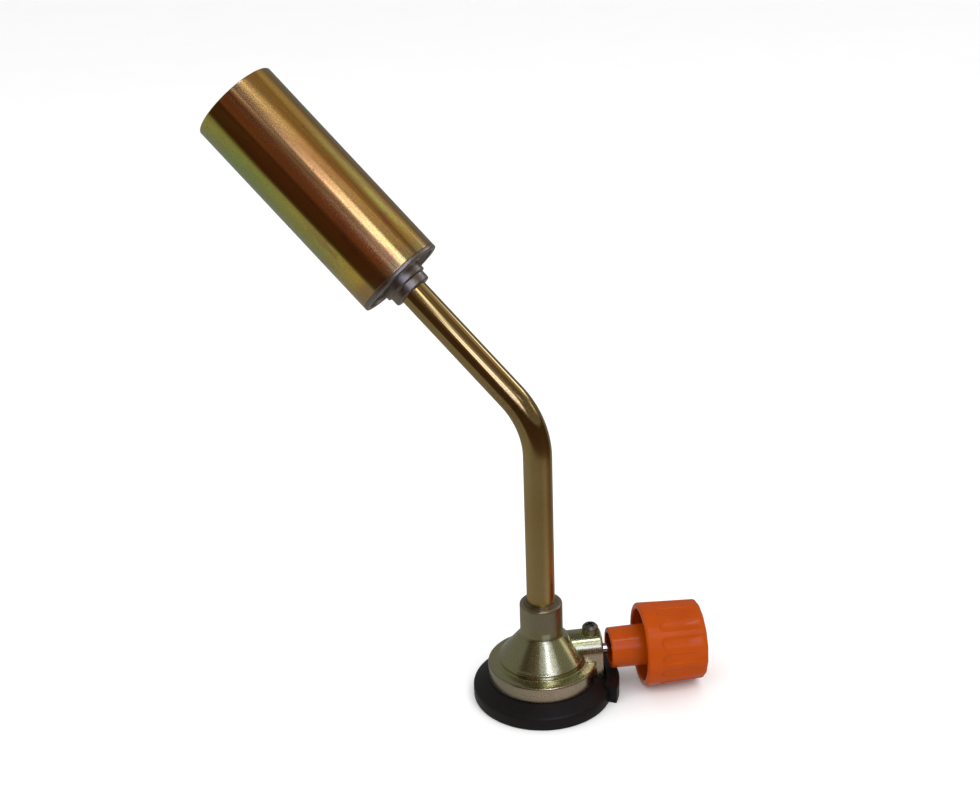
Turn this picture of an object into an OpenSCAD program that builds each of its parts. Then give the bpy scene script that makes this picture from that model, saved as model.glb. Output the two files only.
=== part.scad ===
// Gas cartridge torch: knurled valve knob, cast valve body on a bayonet lock ring,
// bent delivery tube and a cylindrical burner. Origin: centre of the ring's underside.
// +Z is up, +X points along the valve spindle towards the knob. Millimetres.

/* [Lock ring] */
// Outer radius of the moulded lock ring
ring_r = 20.05; // [19.5:0.05:21]
// Inner radius of the ring's skirt
ring_bore_r = 17.3; // [16.5:0.1:17.8]
// Height of the ring, and underside of the valve body disc
ring_h = 6; // [5:0.1:7]
// Height of the ring's upright outer wall
ring_wall_h = 3.8; // [3:0.1:4.5]
// How far the guide lug stands out from the ring
lug_out = 2.2; // [1:0.1:3]
// Half the angle the guide lug covers
lug_half_deg = 28; // [10:0.5:35]

/* [Bayonet] */
// Thickness of the steel bayonet plate
plate_t = 1; // [0.8:0.1:1.5]
// Outer radius of the bayonet plate
plate_r = 13.4; // [12.5:0.1:14]
// Radius to the tips of the claws
claw_tip_r = 15.4; // [14.5:0.1:16]
// Number of claws, and of the screws between them
claw_n = 3; // [3:1:3]

/* [Valve body] */
// Radius of the disc that covers the lock ring
disc_r = 15.65; // [15:0.05:16]
// Height of the disc's upper edge
disc_top = 10.9; // [10:0.1:11.5]
// Radius of the foot of the cone
cone_r = 11.9; // [11:0.1:12.5]
// Height of the foot of the cone
cone_z = 13.3; // [12.5:0.1:14]
// Outer radius of the neck
neck_r = 6.1; // [5.8:0.05:6.5]
// Height where the cone meets the neck
neck_z = 20.4; // [19:0.1:22]
// Height of the top of the neck
neck_top = 30; // [28:0.5:32]
// Half the width of the spindle barrel
barrel_r = 5.2; // [4.8:0.05:5.6]
// Height of the barrel's round top centre
barrel_z = 13.5; // [13:0.1:14]
// End face of the barrel
barrel_x = 17.1; // [16:0.1:18]

/* [Spindle and knob] */
// Height of the spindle axis
axis_z = 12.2; // [12:0.05:12.5]
// Radius of the spindle
spindle_r = 1.5; // [1.3:0.1:1.8]
// Left end of the knob's hub
hub_x = 19.5; // [19:0.1:20]
// Radius of the hub at its free end
hub_r = 5.85; // [5.5:0.05:6.2]
// Open end of the knob's skirt
skirt_x = 28.6; // [28:0.1:29.5]
// Closed outer end of the knob
knob_x = 46.4; // [44:0.1:48]
// Radius of the skirt's open end
skirt_r = 12.1; // [11.5:0.05:12.15]
// Radius of the knob's closed end
knob_end_r = 11.4; // [11:0.05:11.8]
// Thickness of the knob's skirt
skirt_t = 1.8; // [1.5:0.1:2.2]
// Number of grip flutes
flute_n = 15; // [12:1:20]

/* [Delivery tube] */
// Outer radius of the tube
tube_r = 4; // [3.5:0.1:4.5]
// Inner radius of the tube
tube_bore_r = 3; // [2.5:0.1:3.2]
// Height where the bend starts
bend_z = 75.6; // [60:0.1:90]
// Radius of the bend on the tube's centre line
bend_r = 23.1; // [20:0.1:35]
// Angle of the burner from the vertical
bend_deg = 46.5; // [30:0.5:60]
// Direction the burner leans towards
bend_az = 147.3; // [140:0.1:180]

/* [Burner] */
// Distance from the end of the bend to the burner's back face
base_s = 43.5; // [40:0.1:50]
// Distance from the end of the bend to the mouth
mouth_s = 109.4; // [100:0.1:120]
// Outer radius of the flame tube
flame_r = 12.7; // [12:0.05:13.5]
// Radius of the bore at the mouth
mouth_r = 12.25; // [11.9:0.05:12.4]
// Length of the bore at the mouth
mouth_l = 17.4; // [15:0.1:25]
// Number of air holes
air_n = 8; // [6:1:10]

/* [Hidden] */
$fn = 96;
eps = 0.01;
over = 1;

// Ring and bayonet
flange_z = 4.6;
boss_r = 9.2;
boss_z = 0.9;
boss_gap = 0.1;
plate_z = flange_z - plate_t;
claw_deg = 24;
claw_t = 1;
claw_leg_r = 11.4;
screw_pcd_r = 11.3;
screw_r = 1.1;
screw_head_r = 1.9;
screw_head_h = 1.1;
screw_top = 9.4;

// Gas inlet
nozzle_r = 3.2;
nozzle_z = 1.4;
nozzle_top = 8.5;
stem_r = 1.6;
stem_top = 6;
filter_r = 2;
filter_t = 1;
seal_r = 5.6;
seal_z = 0.7;
seal_top = 2.5;
inlet_r = 1;

// Valve bores along the spindle
seat_x0 = 0.8;
seat_x1 = 2.8;
seat_hole_r = 0.6;
chamber_x = -2;
chamber_r = 1.6;
bore_r = 2.54;
bush_x = 12.4;
bush_r = 3.6;
bush_end = barrel_x - 0.2;
bush_bore_r = spindle_r + 0.05;
bush_groove_r = 2.8;
gland_x = 14.16;
gland_r = 1.2;
gland_seat_z = 18.15;
gland_head_r = 2.3;
gland_head_top = 21.1;
gland_dome_r = 3.1;
gland_dome_h = 1.05;
outlet_r = 0.9;
socket_z = 21.5;
csk_r = 5.1;
csk_z = 29.2;

// Wall lost on each side where the tube is drawn round the bend
bend_draw = 0.02;

// Spindle details
needle_x = 1.2;
needle_r = 0.54;
taper_x0 = 3.1;
taper_x1 = 4.4;
stem_body_r = 1.6;
land_r = 2;
land_x0 = 5.2;
land_x1 = 10.6;
groove_w = 1.3;
groove_r = 1.27;
groove_xs = [6, 8.5];
o_mid_r = 1.9;
o_r = 0.6;
spindle_end = 40;

// Knob details
hub_bore_x = 22.5;
hub_bore_r = 4.3;
hub_draft = 0.35;
end_t = 2;
flute_r = 3;
flute_x = 33;
flute_depth = 0.4;
skirt_draft = (skirt_r - knob_end_r) / (knob_x - skirt_x);
knob_round = 1.4;

// Burner details, measured along the burner axis from the end of the bend
collar_r = 5.7;
collar_s = 38.7;
step_r = 6.45;
step_s = 41.4;
rim_s = 44.7;
plug_s = 50;
plug_r = 11.8;
recess_r0 = 7.3;
recess_r1 = 11.2;
recess_s = 44.5;
tube_end_s = 43.2;
jet_r = 2.9;
jet_s = 44.2;
jet_flange_r = 3.6;
jet_flange_s = 50.4;
jet_end_s = 53;
jet_bore_r = 1.6;
jet_hole_r = 0.15;
gauze_s = 45;
gauze_t = 0.6;
air_r = 1.5;
air_pcd_r = 9.2;
mix_t = 0.6;
mix_throat_r = 6.5;
mix_end_s = 86;
holder_t = 1.5;
holder_s = 86;
holder_rim_s = mouth_s - mouth_l;
holder_hole_r = 1.5;
holder_pcd_r = 6.2;
lip_r = 11.8;

zinc = [0.72, 0.66, 0.42];
steel = [0.7, 0.7, 0.7];
brass = [0.8, 0.62, 0.3];
black = [0.12, 0.12, 0.13];
orange = [0.85, 0.36, 0.1];

// Places its children on the burner axis, with their +Z along it
module on_burner(s = 0) {
  rotate([0, 0, bend_az])
    translate([bend_r * (1 - cos(bend_deg)), 0, bend_z + bend_r * sin(bend_deg)])
      rotate([0, bend_deg, 0])
        translate([0, 0, s])
          children();
}

// Places its children on the spindle axis, with their +Z along +X
module on_spindle(x = 0) {
  translate([x, 0, axis_z])
    rotate([0, 90, 0])
      children();
}

// A round bar of radius r from s0 to s1
module bar(r, s0, s1) {
  translate([0, 0, s0])
    cylinder(r = r, h = s1 - s0);
}

// A flat ring from s0 to s1
module washer(r, hole, s0, s1) {
  difference() {
    bar(r, s0, s1);
    bar(hole, s0 - over, s1 + over);
  }
}

module around(n, from = 0) {
  for (i = [0 : n - 1])
    rotate([0, 0, from + i * 360 / n])
      children();
}

// Solid of the ring's sloping top, used to cut the barrel's foot to it
module ring_top_cone(lift = 0) {
  translate([0, 0, lift])
    rotate_extrude()
      polygon([[0, -over], [ring_r, -over], [ring_r, ring_wall_h], [disc_r, ring_h], [0, ring_h]]);
}

module lock_ring() {
  color(black) {
    difference() {
      union() {
        rotate_extrude()
          polygon([[0, 0], [ring_r - 0.4, 0], [ring_r, 0.4], [ring_r, ring_wall_h - 0.4],
            [ring_r - 0.5, ring_wall_h + 0.1], [disc_r, ring_h], [0, ring_h]]);
        rotate_extrude(start = -lug_half_deg, angle = 2 * lug_half_deg)
          polygon([[ring_r - 1.5, 0], [ring_r + lug_out, 0], [ring_r + lug_out, ring_h - 1.2],
            [ring_r + lug_out - 0.6, ring_h - 0.6], [ring_r - 1.5, ring_h - 0.6]]);
      }
      bar(ring_bore_r, -over, flange_z);
      bar(boss_r + boss_gap, 0, ring_h + over);
      around(claw_n, 60)
        translate([screw_pcd_r, 0, 0])
          cylinder(r = screw_r + 0.2, h = ring_h + over);
    }
  }
}

module claw() {
  rotate_extrude(start = -claw_deg / 2, angle = claw_deg)
    polygon([[claw_leg_r, plate_z + eps], [claw_leg_r, boss_z], [claw_tip_r, boss_z],
      [claw_tip_r, boss_z + claw_t], [claw_leg_r + claw_t, boss_z + claw_t],
      [claw_leg_r + claw_t, plate_z + eps]]);
}

module bayonet_plate() {
  color(steel) {
    difference() {
      union() {
        bar(plate_r, plate_z, flange_z);
        around(claw_n)
          claw();
      }
      bar(boss_r + boss_gap, 0, ring_h);
      around(claw_n, 60)
        translate([screw_pcd_r, 0, 0])
          cylinder(r = screw_r + 0.2, h = ring_h + over);
    }
  }
}

module plate_screws() {
  color(steel)
    around(claw_n, 60)
      translate([screw_pcd_r, 0, 0])
        difference() {
          union() {
            bar(screw_head_r, plate_z - screw_head_h, plate_z);
            bar(screw_r, plate_z - eps, screw_top);
          }
          for (a = [0, 90])
            rotate([0, 0, a])
              translate([-1.3, -0.25, plate_z - screw_head_h - over])
                cube([2.6, 0.5, over + 0.6]);
        }
}

module valve_body() {
  color(zinc)
    difference() {
      union() {
        rotate_extrude()
          polygon([[0, boss_z], [boss_r, boss_z], [boss_r, ring_h], [disc_r, ring_h],
            [disc_r, disc_top - 0.5], [disc_r - 0.5, disc_top], [cone_r + 0.5, disc_top + 0.3],
            [cone_r + 0.5, cone_z - 0.7], [cone_r, cone_z], [neck_r, neck_z],
            [neck_r, neck_top - 0.5], [neck_r - 0.5, neck_top], [0, neck_top]]);
        difference() {
          intersection() {
            translate([0, 0, barrel_z])
              rotate([0, 90, 0])
                union() {
                  cylinder(r = barrel_r, h = barrel_x);
                  translate([0, -barrel_r, 0])
                    cube([barrel_z, 2 * barrel_r, barrel_x]);
                }
            translate([0, -barrel_r - over, ring_h - 0.7])
              cube([barrel_x + over, 2 * barrel_r + 2 * over, neck_top]);
          }
          ring_top_cone();
        }
      }
      bar(nozzle_r, 0, nozzle_top);
      bar(seal_r, 0, seal_top);
      bar(inlet_r, nozzle_top - eps, axis_z);
      around(claw_n, 60)
        translate([screw_pcd_r, 0, 0])
          bar(screw_r, 0, screw_top);
      on_spindle() {
        bar(chamber_r, chamber_x, seat_x0 + eps);
        bar(bore_r, seat_x0, bush_x + eps);
        bar(bush_r, bush_x, barrel_x + over);
      }
      translate([gland_x, 0, 0])
        bar(gland_r, axis_z, neck_top);
      translate([gland_x, 0, 0])
        bar(gland_head_r, gland_seat_z, neck_top);
      translate([4, 0, axis_z])
        rotate([0, -19, 0])
          cylinder(r = outlet_r, h = 10.4);
      bar(tube_r, socket_z, neck_top + over);
      translate([0, 0, csk_z])
        cylinder(r1 = tube_r, r2 = csk_r, h = neck_top - csk_z + eps);
    }
}

module inlet_nozzle() {
  color(brass)
    difference() {
      bar(nozzle_r, nozzle_z, nozzle_top);
      bar(stem_r, 0, stem_top + eps);
      bar(filter_r, stem_top, nozzle_top + over);
    }
}

module inlet_seal() {
  color(black)
    rotate_extrude()
      polygon([[nozzle_r, seal_z + 0.4], [nozzle_r + 0.4, seal_z], [seal_r - 0.4, seal_z],
        [seal_r, seal_z + 0.4], [seal_r, seal_top], [nozzle_r, seal_top]]);
}

module inlet_filter() {
  color(steel)
    difference() {
      bar(filter_r, stem_top, stem_top + filter_t);
      around(6)
        translate([1.1, 0, 0])
          bar(0.3, 0, nozzle_top);
      bar(0.3, 0, nozzle_top);
    }
}

module valve_seat() {
  color(brass)
    on_spindle()
      washer(bore_r, seat_hole_r, seat_x0, seat_x1);
}

module spindle() {
  color(steel)
    on_spindle()
      difference() {
        union() {
          bar(needle_r, needle_x, taper_x0 + eps);
          translate([0, 0, taper_x0])
            cylinder(r1 = needle_r, r2 = stem_body_r, h = taper_x1 - taper_x0);
          bar(stem_body_r, taper_x1 - eps, land_x0 + eps);
          bar(land_r, land_x0, land_x1);
          bar(spindle_r, land_x1 - eps, spindle_end);
        }
        for (g = groove_xs)
          washer(land_r + over, groove_r, g, g + groove_w);
      }
}

module spindle_o_rings() {
  color(black)
    for (g = groove_xs)
      on_spindle(g + groove_w / 2)
        rotate_extrude()
          translate([o_mid_r, 0])
            circle(r = o_r);
}

module gland_bush() {
  color(brass)
    on_spindle()
      difference() {
        washer(bush_r, bush_bore_r, bush_x, bush_end);
        washer(bush_r + over, bush_groove_r, gland_x - 1.3, gland_x + 1.3);
      }
}

module gland_screw() {
  color(steel)
    translate([gland_x, 0, 0])
      difference() {
        union() {
          bar(gland_r, axis_z + bush_groove_r + 0.1, gland_seat_z + eps);
          bar(gland_head_r, gland_seat_z, gland_head_top - gland_dome_h);
          intersection() {
            bar(gland_head_r, gland_seat_z, gland_head_top);
            translate([0, 0, gland_head_top - gland_dome_r])
              sphere(r = gland_dome_r);
          }
        }
        for (a = [20, 110])
          rotate([0, 0, a])
            translate([-1.2, -0.25, gland_head_top - 0.9])
              cube([2.4, 0.5, over + 1]);
      }
}

module knob() {
  color(orange)
    on_spindle()
      difference() {
        union() {
          difference() {
            rotate_extrude()
              polygon([[0, skirt_x + 0.4], [skirt_r - skirt_t, skirt_x + 0.4],
                [skirt_r - skirt_t + 0.4, skirt_x], [skirt_r - 0.4, skirt_x],
                [skirt_r, skirt_x + 0.4], [knob_end_r, knob_x - knob_round],
                [knob_end_r - knob_round / 3, knob_x - knob_round / 3],
                [knob_end_r - knob_round, knob_x], [0, knob_x]]);
            translate([0, 0, skirt_x - over])
              cylinder(r1 = skirt_r - skirt_t, r2 = knob_end_r - skirt_t,
                h = knob_x - end_t - skirt_x + over);
          }
          translate([0, 0, hub_x])
            cylinder(r1 = hub_r, r2 = hub_r + hub_draft, h = knob_x - end_t - hub_x + eps);
        }
        bar(hub_bore_r, hub_x - over, hub_bore_x);
        bar(spindle_r, hub_bore_x - over, spindle_end);
        around(flute_n)
          translate([skirt_r - skirt_draft * (flute_x - skirt_x) - flute_depth + flute_r, 0, flute_x])
            rotate([0, -atan(skirt_draft), 0])
              cylinder(r = flute_r, h = 20);
      }
}

module delivery_tube() {
  color(brass) {
    rotate([0, 0, bend_az]) {
      washer(tube_r, tube_bore_r, socket_z, bend_z);
      translate([bend_r, 0, bend_z])
        rotate([90, 0, 180])
          rotate_extrude(angle = bend_deg)
            difference() {
              translate([bend_r, 0])
                circle(r = tube_r - bend_draw);
              translate([bend_r, 0])
                circle(r = tube_bore_r + bend_draw);
            }
    }
    on_burner()
      washer(tube_r, tube_bore_r, 0, tube_end_s);
  }
}

module tube_solder_ring() {
  color(steel)
    rotate_extrude()
      polygon([[tube_r + eps, csk_z + 0.05], [csk_r - 0.06, neck_top],
        [tube_r + 0.35, neck_top + 0.25], [tube_r + eps, neck_top + 0.1]]);
}

module burner_base() {
  color(steel)
    on_burner()
      difference() {
        rotate_extrude()
          polygon([[0, collar_s], [collar_r - 0.4, collar_s], [collar_r, collar_s + 0.4],
            [collar_r, step_s], [step_r - 0.3, step_s], [step_r, step_s + 0.3],
            [step_r, recess_s], [recess_r0, recess_s], [recess_r1, recess_s],
            [recess_r1, base_s], [flame_r - 0.3, base_s], [flame_r, base_s + 0.3],
            [flame_r, rim_s], [plug_r, rim_s], [plug_r, plug_s], [0, plug_s]]);
        bar(tube_r, collar_s - over, tube_end_s);
        bar(jet_r, tube_end_s - eps, plug_s + over);
        around(air_n)
          translate([air_pcd_r, 0, 0])
            bar(air_r, collar_s, plug_s + over);
      }
}

module gas_jet() {
  color(brass)
    on_burner()
      difference() {
        union() {
          bar(jet_r, jet_s, jet_flange_s + eps);
          translate([0, 0, jet_flange_s])
            cylinder(r = jet_flange_r, h = 1.4, $fn = 6);
          translate([0, 0, jet_flange_s + 1.4 - eps])
            cylinder(r1 = 2.2, r2 = 1.4, h = jet_end_s - jet_flange_s - 1.4 + eps);
        }
        bar(jet_bore_r, jet_s - over, jet_end_s - 1);
        bar(jet_hole_r, jet_s, jet_end_s + over);
      }
}

module jet_washer() {
  color(brass)
    on_burner()
      washer(jet_flange_r, jet_r, plug_s, jet_flange_s);
}

module jet_gauze() {
  color(steel)
    on_burner()
      difference() {
        bar(jet_bore_r, gauze_s, gauze_s + gauze_t);
        around(6)
          translate([0.9, 0, 0])
            bar(0.22, gauze_s - over, gauze_s + over);
      }
}

module mixing_tube() {
  color(steel)
    on_burner()
      rotate_extrude()
        polygon([[plug_r, plug_s], [plug_r, plug_s + 3], [mix_throat_r, 62], [mix_throat_r, 80],
          [8.5, mix_end_s], [8.5 - mix_t, mix_end_s], [mix_throat_r - mix_t, 80.2],
          [mix_throat_r - mix_t, 61.7], [plug_r - mix_t, plug_s + 2.7], [plug_r - mix_t, plug_s]]);
}

module flame_holder() {
  color(steel)
    on_burner()
      difference() {
        bar(lip_r, holder_s, holder_rim_s);
        bar(lip_r - 0.7, holder_s + holder_t, holder_rim_s + over);
        bar(2.4, holder_s - over, holder_rim_s);
        around(8)
          translate([holder_pcd_r, 0, 0])
            bar(holder_hole_r, holder_s - over, holder_rim_s);
        around(16)
          translate([9.8, 0, 0])
            bar(0.6, holder_s - over, holder_rim_s);
      }
}

module flame_tube() {
  color(brass)
    on_burner()
      difference() {
        bar(flame_r, rim_s, mouth_s);
        bar(lip_r, rim_s - over, holder_rim_s + eps);
        bar(mouth_r, holder_rim_s, mouth_s + over);
      }
}

lock_ring();
bayonet_plate();
plate_screws();
valve_body();
inlet_nozzle();
inlet_seal();
inlet_filter();
valve_seat();
spindle();
spindle_o_rings();
gland_bush();
gland_screw();
knob();
delivery_tube();
tube_solder_ring();
burner_base();
gas_jet();
jet_washer();
jet_gauze();
mixing_tube();
flame_holder();
flame_tube();
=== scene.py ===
import math

import bmesh
import bpy
from mathutils import Matrix, Vector


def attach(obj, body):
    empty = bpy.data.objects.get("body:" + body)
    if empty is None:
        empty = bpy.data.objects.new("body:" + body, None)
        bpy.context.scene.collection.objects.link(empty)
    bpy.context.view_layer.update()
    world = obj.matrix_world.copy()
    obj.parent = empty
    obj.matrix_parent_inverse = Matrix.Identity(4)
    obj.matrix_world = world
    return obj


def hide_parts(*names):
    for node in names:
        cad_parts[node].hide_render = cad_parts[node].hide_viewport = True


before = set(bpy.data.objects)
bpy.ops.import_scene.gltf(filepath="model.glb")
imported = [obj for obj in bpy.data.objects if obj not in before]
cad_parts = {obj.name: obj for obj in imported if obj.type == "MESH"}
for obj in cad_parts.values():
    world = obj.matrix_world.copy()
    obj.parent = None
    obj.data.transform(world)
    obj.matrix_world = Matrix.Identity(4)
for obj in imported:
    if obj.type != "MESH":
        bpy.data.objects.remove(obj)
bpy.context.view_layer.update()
MM = 0.001
DEGREES = 180 / math.pi
TORCH, SEALS, KNOB = "torch", "seals", "valve_knob"

# ---------------------------------------------------------------- sizes, mm

RING_R, RING_BORE, RING_H, RING_WALL = 20.05, 17.3, 6.0, 3.8
LUG_OUT, LUG_HALF = 2.2, 28.0
FLANGE_Z, BOSS_R, BOSS_Z = 4.6, 9.2, 0.9
PLATE_R, PLATE_T, CLAW_R0, CLAW_TIP, CLAW_DEG = 13.4, 1.0, 11.4, 15.4, 24.0
SCREW_PCD = 11.3
DISC_R, DISC_TOP, CONE_R, CONE_Z = 15.65, 10.9, 11.9, 13.3
NECK_R, NECK_Z, NECK_TOP = 6.1, 20.4, 30.0
BARREL_R, BARREL_Z, BARREL_X = 5.2, 13.5, 17.1
AXIS_Z, SPINDLE_R = 12.2, 1.5
HUB_X, HUB_R, SKIRT_X, KNOB_X, SKIRT_R, KNOB_END_R, SKIRT_T = 19.5, 5.85, 28.6, 46.4, 12.1, 11.4, 1.8
TUBE_R, TUBE_BORE, BEND_Z, BEND_R, BEND_DEG, BEND_AZ = 4.0, 3.0, 75.6, 23.1, 46.5, 147.3
BASE_S, RIM_S, MOUTH_S, FLAME_R, MOUTH_R, LIP_R = 43.5, 44.7, 109.4, 12.7, 12.25, 11.8
HOLDER_S, HOLDER_RIM, PLUG_S, TUBE_END, AIR_R = 86.0, 92.0, 50.0, 43.2, 1.5
PLATE_Z = FLANGE_Z - PLATE_T
SCREW_ANGLES = (60, 180, 300)
SEAL_R, GROOVES = 5.6, (6, 8.5)
GLAND_X, GLAND_SEAT, GLAND_TOP, GLAND_R, GLAND_TIP = 14.16, 18.15, 21.1, 2.3, 15.1
FLUTES, FLUTE_X, FLUTE_DEPTH, KNOB_ROUND = 15, 32.8, 0.5, 1.5
HUB_BORE_X, HUB_INNER_R, WEB_X, BLIND_X, SHAFT_END = 22.5, 4.3, 44.4, 40.2, 40

# The inlet, up the middle of the body
STEM_R, NOZZLE_R, NOZZLE_Z, NOZZLE_TOP = 1.6, 3.2, 1.4, 8.5
FILTER_R, FILTER_Z, FILTER_TOP, FILTER_HOLE_R, FILTER_PCD = 2.0, 6.0, 7.0, 0.3, 1.1
SEAL_Z, SEAL_TOP, GALLERY_R, SOCKET_Z = 0.7, 2.5, 1.0, 21.5
# The plate's screws
SCREW_R, SCREW_TOP, SCREW_HEAD_R, SCREW_HEAD_T, SCREW_HOLE_R = 1.1, 9.4, 1.9, 1.1, 1.3
# Along the spindle
SEAT_X, SEAT_END, SEAT_R, SEAT_BORE = 0.8, 2.8, 2.54, 0.6
BUSH_X, BUSH_END, BUSH_R, BUSH_BORE, WAIST_R, WAIST_HALF = 12.4, 16.9, 3.6, 1.55, 2.8, 1.3
PLUNGER_R, PLUNGER_END, GROOVE_R, GROOVE_W, CORD_R = 2, 10.6, 1.27, 1.3, 0.6
# Along the burner
COLLAR_S, COLLAR_R, STEP_S, STEP_R, WEB_S, WEB_R = 38.7, 5.7, 41.4, 6.45, 44.5, 11.2
JET_R, JET_BORE, JET_FOOT, JET_TIP, HEX_R, WASHER_TOP, HEX_TOP = 2.9, 1.6, 44.2, 53, 3.6, 50.4, 51.8
AIR_PCD, THROAT_R, FUNNEL_R, SHEET = 9.2, 6.5, 8.5, 0.6
HOLDER_T, HOLDER_WALL = 1.5, 0.7

SPINDLE = Matrix.Translation((0, 0, AXIS_Z)) @ Matrix.Rotation(math.radians(90), 4, "Y")
BURNER = (
    Matrix.Rotation(math.radians(BEND_AZ), 4, "Z")
    @ Matrix.Translation((BEND_R * (1 - math.cos(math.radians(BEND_DEG))), 0,
                          BEND_Z + BEND_R * math.sin(math.radians(BEND_DEG))))
    @ Matrix.Rotation(math.radians(BEND_DEG), 4, "Y")
)
GLAND = Matrix.Translation((GLAND_X, 0, 0))
UPRIGHT = Matrix.Identity(4)

# ---------------------------------------------------------------- camera

CAM = dict(
    azimuth=-7.54, elevation=23.51, roll=-2.07, distance=417.4, target=(-12.51, 0.0, 92.71), lens=57.42
)


def make_camera():
    a, e, r = (math.radians(CAM[k]) for k in ("azimuth", "elevation", "roll"))
    back = Vector((math.sin(a) * math.cos(e), -math.cos(a) * math.cos(e), math.sin(e)))
    right = Vector((math.cos(a), math.sin(a), 0))
    up = back.cross(right)
    x = right * math.cos(r) + up * math.sin(r)
    y = up * math.cos(r) - right * math.sin(r)
    m = Matrix((x, y, back)).transposed().to_4x4()
    m.translation = (Vector(CAM["target"]) + back * CAM["distance"]) * MM
    data = bpy.data.cameras.new("camera")
    data.lens, data.sensor_width = CAM["lens"], 36
    data.clip_start, data.clip_end = 0.01, 20
    cam = bpy.data.objects.new("camera", data)
    cam.matrix_world = m
    bpy.context.collection.objects.link(cam)
    bpy.context.scene.camera = cam


# ---------------------------------------------------------------- meshes

CORNER_STEPS = 5


def finish_mesh(name, bm, sharp=34):
    bmesh.ops.recalc_face_normals(bm, faces=bm.faces)
    bmesh.ops.scale(bm, vec=(MM, MM, MM), verts=bm.verts)
    mesh = bpy.data.meshes.new(name)
    bm.to_mesh(mesh)
    bm.free()
    for p in mesh.polygons:
        p.use_smooth = True
    mesh.set_sharp_from_angle(angle=math.radians(sharp))
    obj = bpy.data.objects.new(name, mesh)
    bpy.context.collection.objects.link(obj)
    return obj


def rounded(points, radii):
    """Rounds the corners of a list of (r, z) points. radii has one entry for each corner, 0 for none."""
    if radii is None:
        return list(points)
    out, n = [], len(points)
    for i, (p, rad) in enumerate(zip(points, radii)):
        p = Vector(p)
        if not rad:
            out.append(tuple(p))
            continue
        a, b = Vector(points[i - 1]), Vector(points[(i + 1) % n])
        u, v = (a - p).normalized(), (b - p).normalized()
        half = math.acos(max(-1, min(1, u.dot(v)))) / 2
        if half > math.radians(89.5):
            out.append(tuple(p))
            continue
        reach = min(rad / math.tan(half), (a - p).length * 0.49, (b - p).length * 0.49)
        rad = reach * math.tan(half)
        c = p + (u + v).normalized() * (rad / math.sin(half))
        s, t = p + u * reach - c, p + v * reach - c
        turn = math.atan2(s.x * t.y - s.y * t.x, s.dot(t))
        for k in range(CORNER_STEPS + 1):
            w = turn * k / CORNER_STEPS
            cos, sin = math.cos(w), math.sin(w)
            out.append((c.x + s.x * cos - s.y * sin, c.y + s.x * sin + s.y * cos))
    return out


def spin(bm, profile, place, segs, closed=True, start=0.0, sweep=360.0, shape=None):
    """Revolves (r, z) points about the placed Z axis. shape(r, z, angle) may move a point."""
    full = sweep > 359.9
    rings = []
    count = segs if full else segs + 1
    for r, z in profile:
        if r < 1e-6 and full:
            rings.append([bm.verts.new(place @ Vector((0, 0, z)))] * count)
            continue
        row = []
        for i in range(count):
            a = math.radians(start + sweep * i / segs)
            rr, zz = shape(r, z, a) if shape else (r, z)
            row.append(bm.verts.new(place @ Vector((rr * math.cos(a), rr * math.sin(a), zz))))
        rings.append(row)
    pairs = list(zip(rings, rings[1:]))
    if closed:
        pairs.append((rings[-1], rings[0]))
    for p, q in pairs:
        for i in range(segs):
            k = (i + 1) % count
            face = []
            for v in (p[i], p[k], q[k], q[i]):
                if v not in face:
                    face.append(v)
            if len(face) > 2:
                bm.faces.new(face)
    if not full and closed:
        bm.faces.new([row[0] for row in rings])
        bm.faces.new([row[-1] for row in reversed(rings)])


def held(profile, closed):
    """Adds a point close to both ends of each long straight run, so smooth shading stays true along it."""
    out, margin = [], 0.08
    runs = list(zip(profile, profile[1:] + profile[:1]))
    for p, q in runs if closed else runs[:-1]:
        out.append(p)
        p, q = Vector(p), Vector(q)
        length = (q - p).length
        if length > 1.0:
            out += [tuple(p.lerp(q, margin / length)), tuple(q.lerp(p, margin / length))]
    return out if closed else out + [profile[-1]]


def turned(name, profile, radii, place=UPRIGHT, segs=160, closed=True, sharp=34, **kw):
    bm = bmesh.new()
    spin(bm, held(rounded(profile, radii), closed), place, segs, closed, **kw)
    return finish_mesh(name, bm, sharp)


def join_bm(name, parts):
    bm = bmesh.new()
    for add in parts:
        add(bm)
    return finish_mesh(name, bm)


def apply_mods(obj):
    bpy.context.view_layer.update()
    graph = bpy.context.evaluated_depsgraph_get()
    mesh = bpy.data.meshes.new_from_object(obj.evaluated_get(graph))
    obj.modifiers.clear()
    obj.data = mesh
    return obj


def cut(obj, *cutters):
    """Takes closed cutters that don't touch one another out of obj."""
    bm = bmesh.new()
    for c in cutters:
        bm.from_mesh(c.data)
        bpy.data.objects.remove(c)
    mesh = bpy.data.meshes.new("cutters")
    bm.to_mesh(mesh)
    bm.free()
    tool = bpy.data.objects.new("cutters", mesh)
    bpy.context.collection.objects.link(tool)
    m = obj.modifiers.new("cut", "BOOLEAN")
    m.operation, m.solver, m.object = "DIFFERENCE", "EXACT", tool
    apply_mods(obj)
    bpy.data.objects.remove(tool)
    return obj


def soften(obj, width):
    m = obj.modifiers.new("edges", "BEVEL")
    m.width, m.segments, m.limit_method = width * MM, 3, "ANGLE"
    m.angle_limit = math.radians(30)
    m.use_clamp_overlap = True
    return apply_mods(obj)


def smooth(obj, sharp=34):
    for p in obj.data.polygons:
        p.use_smooth = True
    obj.data.set_sharp_from_angle(angle=math.radians(sharp))
    return obj


def rod(place, r, z0, z1, segs, x, y):
    return lathe_cutter(place @ Matrix.Translation((x, y, 0)), [(0, z0), (r, z0), (r, z1), (0, z1)], segs)


def lathe_cutter(place, points, segs=64):
    bm = bmesh.new()
    spin(bm, points, place, segs, closed=False)
    return finish_mesh("cutter", bm)


def polar(r, degrees):
    return r * math.cos(math.radians(degrees)), r * math.sin(math.radians(degrees))


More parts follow.
